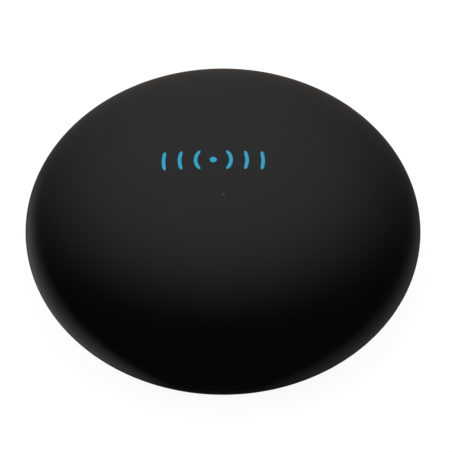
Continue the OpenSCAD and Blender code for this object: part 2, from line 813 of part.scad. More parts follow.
// The barrel, the flange that keeps it in and the stem, with a shallow round dish in the face
module reset_button() {
    dish_r = (pow(dish_d / 2, 2) + pow(dish_depth, 2)) / (2 * dish_depth);
    color("#3a3a3d") around(reset_angle) translate([0, 0, button_mid_z]) difference() {
        union() {
            round_rod(flange_in_r, flange_out_r, flange_d);
            round_rod(flange_out_r - flange_t / 2, button_face_r, button_d);
            round_rod(stem_in_r, flange_in_r + flange_t / 2, stem_d);
        }
        translate([button_face_r + dish_r - dish_depth, 0, 0]) sphere(r = dish_r);
    }
}

// Puts its children on the board where the switch is, with its outer face at X = 0
module at_switch() {
    around(reset_angle, switch_out_r) translate([0, 0, board_top]) children();
}

module switch_body() {
    color("#1b1b1d") at_switch() difference() {
        translate([-switch_l / 2 - switch_sheet / 2, 0, 0])
            block([switch_l - switch_sheet, switch_w, switch_h - switch_sheet]);
        translate([0, 0, switch_h / 2]) round_rod(-plunger_bore_l, over, plunger_bore_d);
    }
}

// A bent plate that covers the switch's outer face and its top
module switch_cover() {
    color("#c0c2c4") at_switch() difference() {
        union() {
            translate([-switch_sheet, -switch_w / 2, 0]) cube([switch_sheet, switch_w, switch_h]);
            translate([-switch_l, -switch_w / 2, switch_h - switch_sheet])
                cube([switch_l, switch_w, switch_sheet]);
        }
        translate([0, 0, switch_h / 2]) round_rod(-switch_sheet - over / 2, over, plunger_bore_d);
    }
}

module switch_plunger() {
    color("#7d2f2a") at_switch() translate([0, 0, switch_h / 2])
        round_rod(-plunger_in, plunger_out, plunger_d);
}

module switch_legs() {
    color("#c8c9cc") at_switch()
        for (y = [-1, 1], x = [-switch_l + switch_leg_w / 2, -switch_leg_w - switch_sheet])
            translate([x, y > 0 ? switch_w / 2 : -switch_w / 2 - switch_leg_out, 0])
                cube([switch_leg_w, switch_leg_out, switch_leg_t]);
}

module status_lamp() {
    color("#e8e2d0") translate(lamp_xy) translate([0, 0, board_top]) block(lamp_size);
}

module light_guide() {
    color("#dfe6ea") translate(lamp_xy) post(guide_low_z, guide_top_z, guide_d);
}

module regulator() {
    color("#1b1b1d") translate(regulator_share * board_r) translate([0, 0, board_top])
        block(regulator_size);
}

// One wide tab behind the regulator and three narrow leads in front of it
module regulator_leads() {
    out = regulator_size[1] / 2;
    wide = regulator_size[0] / 2;
    pitch = regulator_size[0] / 3;
    color("#c8c9cc") translate(regulator_share * board_r) translate([0, 0, board_top]) {
        translate([-wide / 2, out, 0]) cube([wide, chip_lead_out, chip_lead_t]);
        for (x = [-1, 0, 1]) translate([x * pitch - chip_lead_w, -out - chip_lead_out, 0])
            cube([2 * chip_lead_w, chip_lead_out, chip_lead_t]);
    }
}

module bulk_capacitor() {
    groove_z = board_top + can_foot_h + can_h / 5;
    color("#c3c6c9") translate(can_share * board_r) difference() {
        post(board_top + can_foot_h, board_top + can_foot_h + can_h, can_d);
        band(groove_z, groove_z + chip_lead_w, can_d / 2 - chip_lead_t, can_d);
    }
}

module bulk_capacitor_foot() {
    color("#151517") translate(can_share * board_r) translate([0, 0, board_top])
        block([can_d, can_d, can_foot_h]);
}

module driver_transistors() {
    color("#1b1b1d") for (xy = transistor_xys)
        translate(xy) translate([0, 0, board_top]) block(transistor_size);
}

module transistor_leads() {
    out = transistor_size[1] / 2;
    color("#c8c9cc") for (xy = transistor_xys) translate(xy) translate([0, 0, board_top]) {
        translate([-chip_lead_w / 2, out, 0]) cube([chip_lead_w, chip_lead_out, chip_lead_t]);
        for (x = [-1, 1])
            translate([x * transistor_size[0] / 3 - chip_lead_w / 2, -out - chip_lead_out, 0])
                cube([chip_lead_w, chip_lead_out, chip_lead_t]);
    }
}

// A chip part: a block with an end cap at each end that is a little taller
module chip(size) {
    cap = size[2] / 10;
    translate([0, 0, cap]) block([size[0] - end_cap_w, size[1] - cap, size[2] - 2 * cap]);
    for (x = [-1, 1]) translate([x * (size[0] - end_cap_w) / 2, 0, 0])
        block([end_cap_w, size[1], size[2]]);
}

module emitter_resistors() {
    color("#2a2f38") {
        for (i = [0:len(side_angles) - 1]) around(side_angles[i], resistor_r)
            translate([0, resistor_turns[i] * resistor_off, board_top]) chip(resistor_size);
        for (i = [0:len(upright_xys) - 1]) translate(upright_xys[i] + upright_resistor_offs[i])
            translate([0, 0, board_top]) chip(resistor_size);
    }
}

module ceramic_capacitors() {
    color("#b59468") for (xy = ceramic_xys)
        translate(xy) translate([0, 0, board_top]) chip(ceramic_size);
}

top_cover();
base_shell();
foot_ring();
case_screws();
main_board();
board_screws();
side_emitter(0);  // side_emitter_1
side_emitter(1);  // side_emitter_2
side_emitter(2);  // side_emitter_3
side_emitter(3);  // side_emitter_4
side_emitter(4);  // side_emitter_5
side_emitter(5);  // side_emitter_6
side_emitter_leads();
upright_emitter(0);  // upright_emitter_1
upright_emitter(1);  // upright_emitter_2
upright_emitter(2);  // upright_emitter_3
upright_emitter_leads();
ir_receiver();
ir_receiver_leads();
radio_board();
radio_shield();
radio_antenna();
usb_shell();
usb_tongue();
usb_contacts();
reset_button();
switch_body();
switch_cover();
switch_plunger();
switch_legs();
status_lamp();
light_guide();
regulator();
regulator_leads();
bulk_capacitor();
bulk_capacitor_foot();
driver_transistors();
transistor_leads();
emitter_resistors();
ceramic_capacitors();
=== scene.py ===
"""Dresses the round infrared sender: smooth moulded shells, real finishes and a plain white studio.

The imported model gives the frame. Every size here is in millimetres in that frame, and turns into
metres where a mesh is made. +Z is up, -Y is the front and +Y is the power socket's side.
"""
from __future__ import annotations

import json
import logging
import math
from dataclasses import dataclass
from enum import Enum
from typing import Any, Mapping, Sequence

import bmesh
import bpy
import numpy as np
from mathutils import Matrix, Vector


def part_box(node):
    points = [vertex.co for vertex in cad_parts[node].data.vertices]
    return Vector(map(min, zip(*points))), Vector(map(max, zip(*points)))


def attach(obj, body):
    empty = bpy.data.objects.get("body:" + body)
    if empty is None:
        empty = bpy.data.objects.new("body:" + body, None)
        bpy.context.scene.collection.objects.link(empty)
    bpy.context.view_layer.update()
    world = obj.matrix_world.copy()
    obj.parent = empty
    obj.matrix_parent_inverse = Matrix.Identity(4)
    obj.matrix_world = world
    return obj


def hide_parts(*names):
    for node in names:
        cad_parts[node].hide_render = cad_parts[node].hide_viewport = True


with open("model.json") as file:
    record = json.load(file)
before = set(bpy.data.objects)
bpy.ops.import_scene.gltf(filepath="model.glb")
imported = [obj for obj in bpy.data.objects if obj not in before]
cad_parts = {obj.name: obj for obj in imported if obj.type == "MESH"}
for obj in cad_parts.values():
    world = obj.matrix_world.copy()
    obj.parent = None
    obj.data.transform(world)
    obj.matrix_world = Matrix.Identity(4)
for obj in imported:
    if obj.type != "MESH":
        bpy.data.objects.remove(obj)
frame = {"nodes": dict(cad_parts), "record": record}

LOG = logging.getLogger("infrared_sender")

Array = np.ndarray
Piece = bpy.types.Object
Socket = bpy.types.NodeSocket
Tree = bpy.types.NodeTree
Pair = tuple[float, float]
Triple = tuple[float, float, float]

MM = 0.001
CASE = "case"
BUTTON = "reset_button"
PLUNGER = "switch_plunger"
EAST, NORTH, UP = (1, 0, 0), (0, 1, 0), (0, 0, 1)
WHITE = (1.0, 1.0, 1.0, 1.0)
# Nearer points than this, in metres, become one: in a new mesh, and in a copy of a CAD node.
SAME_POINT = 1e-8
SAME_CAD_POINT = 1e-7


# ---- Meshes worked out as arrays ----


def add_object(name: str, data: bpy.types.ID) -> Piece:
    """Makes an object of a mesh, a lamp or a camera in the scene."""
    made = bpy.data.objects.new(name, data)
    bpy.context.scene.collection.objects.link(made)
    return made


def new_piece(name: str, points: Array, faces: Sequence[Sequence[int]]) -> Piece:
    """Makes an object at the origin from points in millimetres.

    Args:
        name: The piece's name.
        points: Rows of X, Y and Z.
        faces: The corners of each face.

    Returns:
        The object, with doubles merged and every face pointing outwards.
    """
    mesh = bpy.data.meshes.new(name)
    mesh.from_pydata((np.asarray(points, dtype=float) * MM).tolist(), [], [list(f) for f in faces])
    work = bmesh.new()
    work.from_mesh(mesh)
    bmesh.ops.remove_doubles(work, verts=work.verts, dist=SAME_POINT)
    bmesh.ops.dissolve_degenerate(work, edges=work.edges, dist=SAME_POINT)
    bmesh.ops.recalc_face_normals(work, faces=work.faces)
    work.to_mesh(mesh)
    work.free()
    return add_object(name, mesh)


def grid_faces(rows: int, columns: int, wrap_rows: bool, wrap_columns: bool) -> Array:
    """Quads of a grid whose point (i, j) is number i * columns + j.

    Args:
        rows: Points along the first parameter.
        columns: Points along the second parameter.
        wrap_rows: Whether the last row joins the first.
        wrap_columns: Whether the last column joins the first.

    Returns:
        One row of four point numbers for each quad.
    """
    i = np.arange(rows if wrap_rows else rows - 1)[:, None]
    j = np.arange(columns if wrap_columns else columns - 1)[None, :]
    i_next, j_next = (i + 1) % rows, (j + 1) % columns
    corners = [a * columns + b for a, b in ((i, j), (i, j_next), (i_next, j_next), (i_next, j))]
    return np.stack([np.broadcast_to(c, (i.size, j.size)) for c in corners], axis=-1).reshape(-1, 4)


def unit(angle: Array) -> Array:
    """Rows of the cosine and sine of angles in radians."""
    return np.stack([np.cos(angle), np.sin(angle)], axis=-1)


def lathe(name: str, profile: Array, steps: int, closed: bool = False) -> Piece:
    """Turns a profile round the vertical axis.

    The formula in words: point (i, j) stands at the radius and height of the profile's row i, at
    the angle of j steps of a full turn. A row with no radius shrinks to one point when doubles are
    merged.

    Args:
        name: The piece's name.
        profile: Rows of radius and height.
        steps: Steps of the full turn.
        closed: Whether the profile is a loop, as of a ring.

    Returns:
        The turned piece.
    """
    angle = np.linspace(0.0, 2.0 * math.pi, steps, endpoint=False)
    radius, height = profile[:, :1], profile[:, 1:]
    points = np.stack([radius * np.cos(angle), radius * np.sin(angle),
                       np.broadcast_to(height, (len(profile), steps))], axis=-1).reshape(-1, 3)
    return new_piece(name, points, grid_faces(len(profile), steps, closed, True))


def prism(name: str, outline: Array, origin: Sequence[float], across: Sequence[float],
          up: Sequence[float], low: float, high: float) -> Piece:
    """Carries a flat outline along the direction that stands square on it.

    The formula in words: origin + first column times across + second column times up, moved from
    low to high along across x up.

    Args:
        name: The piece's name.
        outline: Rows of two flat coordinates.
        origin: Where the flat coordinates start.
        across: Direction of the first coordinate.
        up: Direction of the second coordinate.
        low: Start along the third direction.
        high: End along the third direction.

    Returns:
        The closed prism.
    """
    across_v, up_v = np.array(across, dtype=float), np.array(up, dtype=float)
    along = np.cross(across_v, up_v)
    flat = np.array(origin, dtype=float) + outline[:, :1] * across_v + outline[:, 1:] * up_v
    n = len(outline)
    sides = grid_faces(2, n, False, True).tolist()
    return new_piece(name, np.concatenate([flat + low * along, flat + high * along]),
                     sides + [list(range(n))[::-1], list(range(n, 2 * n))])


def circle(diameter: float, steps: int = 96) -> Array:
    """Outline of a circle: radius times cosine and sine of the angle."""
    return diameter / 2 * unit(np.linspace(0.0, 2.0 * math.pi, steps, endpoint=False))


def rounded_rectangle(width: float, height: float, corner: float, steps: int = 12) -> Array:
    """Outline of a rectangle whose corners have a radius, in some steps for each corner.

    The formula in words: each corner's centre plus the corner radius times the cosine and sine of a
    quarter turn's angles, corner after corner.
    """
    turn = np.linspace(0.0, math.pi / 2, steps + 1)
    return np.concatenate([
        np.array([sx * (width / 2 - corner), sy * (height / 2 - corner)])
        + corner * unit(turn + k * math.pi / 2)
        for k, (sx, sy) in enumerate([(1, 1), (-1, 1), (-1, -1), (1, -1)])])


def arc(centre: Sequence[float], radius: float, start: float, end: float, steps: int = 6) -> Array:
    """Rows of a round edge: centre plus radius times cosine and sine, from start to end degrees."""
    return np.array(centre) + radius * unit(np.radians(np.linspace(start, end, steps + 1)))


def heading(angle: float) -> tuple[Array, Array]:
    """The level direction at an angle in degrees from +X, and the level one to its left."""
    a = math.radians(angle)
    return np.array([math.cos(a), math.sin(a), 0.0]), np.array([-math.sin(a), math.cos(a), 0.0])


def vectors(items: bpy.types.bpy_prop_collection, name: str) -> Array:
    """Rows of a property of three numbers, of a mesh's points or corners."""
    rows = np.empty(len(items) * 3)
    items.foreach_get(name, rows)
    return rows.reshape(-1, 3)


def take_away(target: Piece, tool: Piece) -> None:
    """Cuts a tool solid out of the target, and deletes the tool."""
    modifier = target.modifiers.new("cut", "BOOLEAN")
    modifier.operation = "DIFFERENCE"
    modifier.solver = "EXACT"
    modifier.object = tool
    depsgraph = bpy.context.evaluated_depsgraph_get()
    mesh = bpy.data.meshes.new_from_object(target.evaluated_get(depsgraph))
    target.modifiers.clear()
    target.data = mesh
    bpy.data.objects.remove(tool)


def smooth(piece: Piece, sharp: float = 30.0) -> None:
    """Shades a piece smooth, but for the edges that turn by more than an angle in degrees."""
    piece.data.shade_smooth()
    piece.data.set_sharp_from_angle(angle=math.radians(sharp))


def merged_copy(name: str, node: str, sharp: float = 28.0) -> Piece:
    """Copies a CAD node under a new name, with its triangles merged and its round faces smooth."""
    work = bmesh.new()
    work.from_mesh(frame["nodes"][node].data)
    bmesh.ops.remove_doubles(work, verts=work.verts, dist=SAME_CAD_POINT)
    mesh = bpy.data.meshes.new(name)
    work.to_mesh(mesh)
    work.free()
    mesh.materials.clear()
    piece = add_object(name, mesh)
    smooth(piece, sharp)
    return piece


# ---- Node trees ----


class Course(Enum):
    """How a ramp leads from one level to the other."""

    SOFT = "SMOOTHSTEP"
    STRAIGHT = "LINEAR"


def linear(colour: str) -> tuple[float, float, float, float]:
    """Turns an sRGB hex colour such as #1A2B3C into a linear one with an alpha of 1."""
    parts = [int(colour[k:k + 2], 16) / 255 for k in (1, 3, 5)]
    values = [c / 12.92 if c <= 0.04045 else ((c + 0.055) / 1.055) ** 2.4 for c in parts]
    return values[0], values[1], values[2], 1.0


def empty_tree(owner: bpy.types.Material | bpy.types.World) -> Tree:
    """Gives a material or a world an empty node tree."""
    owner.use_nodes = True
    owner.node_tree.nodes.clear()
    return owner.node_tree


def add_node(tree: Tree, kind: str, inputs: Mapping[Any, Any] | None = None,
             **settings: Any) -> bpy.types.Node:
    """Adds a node with its settings, and sets or links its inputs.

    Args:
        tree: The node tree.
        kind: The node's type, such as Math.
        inputs: Each input's name or number, with a value or the socket that it is linked to.
        **settings: The node's own properties.

    Returns:
        The new node.
    """
    node = tree.nodes.new("ShaderNode" + kind)
    for key, value in settings.items():
        setattr(node, key, value)
    for key, value in (inputs or {}).items():
        if isinstance(value, Socket):
            tree.links.new(value, node.inputs[key])
        else:
            node.inputs[key].default_value = value
    return node


def number(tree: Tree, operation: str, *values: Any) -> Socket:
    """The result of an operation on numbers, such as ADD or POWER."""
    return add_node(tree, "Math", dict(enumerate(values)), operation=operation).outputs[0]


def vector(tree: Tree, operation: str, *values: Any) -> Socket:
    """The result of an operation on vectors: a number for DOT_PRODUCT, else a vector."""
    node = add_node(tree, "VectorMath", dict(enumerate(values)), operation=operation)
    return node.outputs["Value" if operation == "DOT_PRODUCT" else "Vector"]


def ramp(tree: Tree, value: Socket, ends: Pair, levels: Pair = (0.0, 1.0),
         course: Course = Course.SOFT) -> Socket:
    """The first level up to the first end, the second from the second end, and a ramp between."""
    return add_node(tree, "MapRange", {
        "Value": value, "From Min": ends[0], "From Max": ends[1], "To Min": levels[0],
        "To Max": levels[1]}, interpolation_type=course.value).outputs["Result"]


def mix_numbers(tree: Tree, share: Socket, first: Any, second: Any) -> Socket:
    """The first number where the share is 0, and the second where it is 1."""
    inputs = {0: share, 2: first, 3: second}
    return add_node(tree, "Mix", inputs, data_type="FLOAT").outputs[0]


def mix_colours(tree: Tree, share: Socket, first: Any, second: Any) -> Socket:
    """The first colour where the share is 0, and the second where it is 1."""
    inputs = {0: share, 6: first, 7: second}
    return add_node(tree, "Mix", inputs, data_type="RGBA").outputs[2]


def mix_shaders(tree: Tree, share: Socket, first: Socket, second: Socket) -> Socket:
    """The first shader where the share is 0, and the second where it is 1."""
    return add_node(tree, "MixShader", {0: share, 1: first, 2: second}).outputs[0]


def noise(tree: Tree, place: Socket, width: float, detail: float, gain: float) -> Socket:
    """A cloudy pattern, whose clouds are so many millimetres wide."""
    return add_node(tree, "TexNoise", {
        "Vector": place, "Scale": 1.0 / (width * MM), "Detail": detail,
        "Roughness": gain}).outputs["Fac"]


def seen_straight(tree: Tree, path: bpy.types.Node) -> Socket:
    """1 for what the camera sees straight or through a clear piece, else 0."""
    rays = (path.outputs[f"Is {kind} Ray"] for kind in ("Camera", "Transmission"))
    return number(tree, "MAXIMUM", *rays)


# ---- Finishes ----

# Layers of the patches' and of the grain's noise, and the strength of the finer ones.
PATCH_NOISE = (3.0, 0.55)
GRAIN_NOISE = (2.0, 0.5)
# The noise's values at which a patch starts and is whole.
PATCH_ENDS = (0.3, 0.7)


@dataclass(frozen=True)
class Finish:
    """A moulded, plated or printed surface: its own colour, a second one in patches, and a grain.

    rough is the roughness and how much rougher the patches are, grain is the width and the depth of
    a grain, and patch is the width of the cloudy patches, in millimetres. stretch multiplies the
    noise's scale along X, Y and Z, as for a drawn or rolled metal.
    """

    name: str
    colour: str
    patch_colour: str
    rough: Pair
    grain: Pair
    patch: float
    metallic: float = 0.0
    ior: float = 1.5
    stretch: Triple = (1.0, 1.0, 1.0)
    transmission: float = 0.0
    # glow and glow_strength make the surface give out light of its own: painted light, which only
    # the painted red glow spot uses.
    glow: str = "#000000"
    glow_strength: float = 0.0

    def build(self) -> bpy.types.Material:
        """Makes the material once, and finds it again the next time."""
        known = bpy.data.materials.get(self.name)
        if known is not None:
            return known
        material = bpy.data.materials.new(self.name)
        material.diffuse_color = linear(self.colour)
        tree = empty_tree(material)
        place = add_node(tree, "Mapping", {
            "Vector": add_node(tree, "TexCoord").outputs["Object"],
            "Scale": self.stretch}).outputs["Vector"]
        patches = noise(tree, place, self.patch, *PATCH_NOISE)
        bump = add_node(tree, "Bump", {
            "Height": noise(tree, place, self.grain[0], *GRAIN_NOISE), "Strength": 1.0,
            "Distance": self.grain[1] * MM})
        rough = (self.rough[0], sum(self.rough))
        shader = add_node(tree, "BsdfPrincipled", {
            "Base Color": self.colour_nodes(tree, patches, place),
            "Roughness": ramp(tree, patches, PATCH_ENDS, rough, Course.STRAIGHT),
            "Metallic": self.metallic, "Normal": bump.outputs["Normal"], "IOR": self.ior,
            "Transmission Weight": self.transmission, "Emission Color": linear(self.glow),
            "Emission Strength": self.glow_strength})
        add_node(tree, "OutputMaterial", {"Surface": shader.outputs["BSDF"]})
        return material

    def colour_nodes(self, tree: Tree, patches: Socket, place: Socket) -> Socket:
        """The surface's colour at a place, from the height of its patches."""
        return mix_colours(tree, patches, linear(self.colour), linear(self.patch_colour))


@dataclass(frozen=True)
class PolishedCover(Finish):
    """Mirror-polished moulding with a very faint wave and a little dust.

    dust_mm is the spacing of the dust cells, and dust_share the part of a cell that a speck takes.
    """

    dust_mm: float = 5.5
    dust_share: float = 0.016
    dust_colour: str = "#3A3C42"

    def colour_nodes(self, tree: Tree, patches: Socket, place: Socket) -> Socket:
        """Adds a few specks of dust to the near-black colour, one in each cell."""
        base = super().colour_nodes(tree, patches, place)
        cells = add_node(tree, "TexVoronoi", {"Vector": place, "Scale": 1.0 / (self.dust_mm * MM)})
        ends = (self.dust_share, self.dust_share * 0.5)
        speck = ramp(tree, cells.outputs["Distance"], ends, course=Course.STRAIGHT)
        return mix_colours(tree, speck, base, linear(self.dust_colour))


# Pad-printed ink: a thin, even film with a soft edge shine.
PRINT_INK = Finish(
    "pad-printed ink", "#0095BC", "#0299C1", rough=(0.32, 0.08), grain=(0.12, 0.002), patch=1.2)
# A red glow painted on the dome over the light guide: the disc gives out light of its own, with no
# lamp inside the cover.
PAINTED_RED_GLOW = Finish(
    "painted red glow on polycarbonate", "#2A0606", "#320707", rough=(0.08, 0.02),
    grain=(0.4, 0.0005), patch=0.4, glow="#FF3A30", glow_strength=0.22)

SLOT_FINISHES: dict[str, Finish] = {
    # Infrared-passing polycarbonate, dyed nearly black, from a mirror-polished mould: it gives
    # sharp, deep reflections with hardly any colour of its own.
    "cover_plastic": PolishedCover(
        "polished infrared-pass polycarbonate", "#020202", "#030202", rough=(0.035, 0.02),
        grain=(2.6, 0.0012), patch=14.0),
    # ABS from a spark-eroded mould: a dry, even grain that spreads every highlight. The real grain
    # is about 0.15 mm wide, and is drawn three times coarser, so that it shows in the render.
    "shell_plastic": Finish(
        "spark-eroded ABS", "#1C1C1E", "#242426", rough=(0.5, 0.14), grain=(0.45, 0.045), patch=5.0,
        ior=1.53),
    # Moulded silicone rubber: dull, slightly dusty, with a grain drawn twice as coarse as it is.
    "foot_rubber": Finish(
        "moulded silicone rubber", "#303033", "#3E3E40", rough=(0.78, 0.12), grain=(0.5, 0.03),
        patch=1.6, ior=1.41),
    "screw_steel": Finish(
        "zinc-plated steel", "#B9BBC0", "#A9ACB3", rough=(0.3, 0.14), grain=(0.12, 0.002),
        patch=1.4, metallic=1.0),
    # Glass-fibre laminate under green solder resist: satin, with the weave just showing through.
    "board_laminate": Finish(
        "solder resist on glass-fibre laminate", "#0F4A2A", "#135231", rough=(0.34, 0.1),
        grain=(0.45, 0.006), patch=5.0, ior=1.54),
    # Water-clear epoxy with a slight blue tint: bright, glassy lenses.
    "emitter_epoxy": Finish(
        "cast clear epoxy", "#C9D4EA", "#C2CEE6", rough=(0.06, 0.03), grain=(0.8, 0.0006),
        patch=2.0, ior=1.54, transmission=0.85),
    "lead_metal": Finish(
        "tin-plated lead wire", "#C6C7C8", "#B7B9BB", rough=(0.27, 0.12), grain=(0.1, 0.001),
        patch=1.0, metallic=1.0, stretch=(1.0, 1.0, 0.3)),
    "receiver_epoxy": Finish(
        "moulded dark epoxy", "#171216", "#1B151A", rough=(0.16, 0.06), grain=(0.3, 0.001),
        patch=2.0, ior=1.54),
    "radio_laminate": Finish(
        "dark solder resist on thin laminate", "#12243E", "#162A47", rough=(0.36, 0.1),
        grain=(0.4, 0.004), patch=4.0, ior=1.54),
    # Tin-plated steel sheet, rolled: faint streaks along the sheet.
    "shield_metal": Finish(
        "rolled tin-plated sheet", "#C9CACB", "#BDBFC1", rough=(0.32, 0.12), grain=(0.1, 0.0015),
        patch=1.6, metallic=1.0, stretch=(0.15, 1.0, 1.0)),
    "track_copper": Finish(
        "etched copper", "#C77B4A", "#B86C3C", rough=(0.35, 0.15), grain=(0.08, 0.001), patch=0.9,
        metallic=1.0),
    # Nickel-plated socket shell: brighter than tin, with drawing marks along its length.
    "socket_metal": Finish(
        "nickel-plated drawn sheet", "#CFCCC6", "#BEBBB4", rough=(0.22, 0.12), grain=(0.09, 0.0012),
        patch=1.2, metallic=1.0, stretch=(1.0, 0.2, 1.0)),
    "black_plastic": Finish(
        "glass-filled nylon", "#151516", "#1D1D1F", rough=(0.46, 0.14), grain=(0.08, 0.003),
        patch=0.6, ior=1.53),
    "contact_gold": Finish(
        "gold-flashed bronze", "#DDB45A", "#CFA44C", rough=(0.2, 0.1), grain=(0.06, 0.0006),
        patch=0.6, metallic=1.0),
    # ABS button from a lightly textured mould: satin, a little lighter than the shells. Its grain
    # is drawn three times coarser than it is, so that it shows.
    "button_plastic": Finish(
        "satin moulded ABS", "#2C2C2F", "#343437", rough=(0.4, 0.12), grain=(0.35, 0.02), patch=1.6,
        ior=1.53),
    "plunger_plastic": Finish(
        "moulded acetal", "#8E2E22", "#97352A", rough=(0.36, 0.1), grain=(0.1, 0.002), patch=0.8,
        ior=1.48),
    "lamp_resin": Finish(
        "milky cast resin", "#E4DEC8", "#DCD4B8", rough=(0.3, 0.1), grain=(0.1, 0.001), patch=0.5,
        ior=1.54, transmission=0.2),
    "guide_acrylic": Finish(
        "clear acrylic", "#EEF3F5", "#E8EEF1", rough=(0.04, 0.02), grain=(0.5, 0.0003), patch=2.0,
        ior=1.49, transmission=0.95),
    "can_aluminium": Finish(
        "drawn aluminium", "#C8CACD", "#BBBEC2", rough=(0.26, 0.12), grain=(0.1, 0.0012), patch=1.5,
        metallic=1.0, stretch=(1.0, 1.0, 0.2)),
    "resistor_ceramic": Finish(
        "fired resistor glaze", "#1E2128", "#272B33", rough=(0.3, 0.12), grain=(0.07, 0.001),
        patch=0.5, ior=1.6),
    "capacitor_ceramic": Finish(
        "fired capacitor ceramic", "#A9875E", "#B39269", rough=(0.44, 0.14), grain=(0.06, 0.0015),
        patch=0.5, ior=1.7),
}


def slot_of(node: str) -> str:
    """The record's material slot of a CAD node."""
    rows = frame["record"]["subparts"]
    return next(row["material_slot"] for row in rows if row["node"] == node)


def settle(piece: Piece, body: str, slot: str, nodes: Sequence[str] = (),
           finish: Finish | None = None) -> None:
    """Gives a piece that is in place its finish, and hands it over to the frame.

    Args:
        piece: The piece.
        body: The CAD body that it rides on.
        slot: The record's material slot.
        nodes: The CAD nodes that it replaces.
        finish: Its finish, if it isn't the slot's own.
    """
    piece.data.materials.clear()
    piece.data.materials.append((finish or SLOT_FINISHES[slot]).build())
    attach(piece, body)
    if nodes:
        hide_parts(*nodes)
    LOG.info("%s: %d faces, on %s, for %s", piece.name, len(piece.data.polygons), body,
             ", ".join(nodes) or "nothing in the CAD")


# ---- The pieces ----


@dataclass(frozen=True)
class BodyCurve:
    """The pebble's outline: radius = half * cos(t)^(2/power) and height = rise * sin(t)."""

    half: float = 35.0
    dome: float = 13.0
    drop: float = 9.2
    flat_in: float = 12.0
    power: float = 2.2
    wide_z: float = 10.0
    seam_z: float = 6.4
    wall: float = 2.2
    on_surface: float = 2e-4
    same_way: float = 0.97

    @property
    def belly(self) -> float:
        """Whole depth of the lower curve, which the flat underside cuts off."""
        return self.drop / math.sqrt(1 - ((self.half - self.flat_in) / self.half) ** self.power)

    def rows(self, half: float, rise: float, start: float, end: float, steps: int) -> Array:
        """Rows of radius and height over the widest line, for angles in degrees."""
        t = np.radians(np.linspace(start, end, steps + 1))
        cosine = np.clip(np.cos(t), 0.0, None)
        return np.stack([half * cosine ** (2 / self.power), rise * np.sin(t)], axis=-1)

    def height(self, x: Array, y: Array) -> Array:
        """Height of the dome over a place: widest line + dome * sqrt(1 - (r / half)^power)."""
        return self.wide_z + self.dome * np.sqrt(1 - (np.hypot(x, y) / self.half) ** self.power)

    def true_normals(self, piece: Piece) -> None:
        """Gives the corners of a smooth piece that lie on the outline the outline's own normal.

        The formula in words: the level, (r / half)^power + (height / rise)^2 - 1, is zero on the
        outline, and its slope, made one long, is the normal. A corner lies on it where the level is
        under on_surface, about two micrometres, and the cosine of the angle between its own normal
        and the outline's is over same_way.
        """
        mesh = piece.data
        points = vectors(mesh.vertices, "co") / MM
        r = np.maximum(np.hypot(points[:, 0], points[:, 1]), 1e-9)
        z = points[:, 2] - self.wide_z
        rise = np.where(z > 0, self.dome, self.belly)
        level = (r / self.half) ** self.power + (z / rise) ** 2 - 1
        out = self.power * (r / self.half) ** (self.power - 1) / self.half
        level_part = points[:, :2] / r[:, None] * out[:, None]
        slope = np.concatenate([level_part, (2 * z / rise ** 2)[:, None]], axis=1)
        slope /= np.linalg.norm(slope, axis=1, keepdims=True)
        corners = np.empty(len(mesh.loops), dtype=np.int64)
        mesh.loops.foreach_get("vertex_index", corners)
        normals, true = vectors(mesh.corner_normals, "vector"), slope[corners]
        near = np.abs(level)[corners] < self.on_surface
        use = near & (np.sum(normals * true, axis=1) > self.same_way)
        normals[use] = true[use]
        mesh.normals_split_custom_set(normals.tolist())


BODY = BodyCurve()


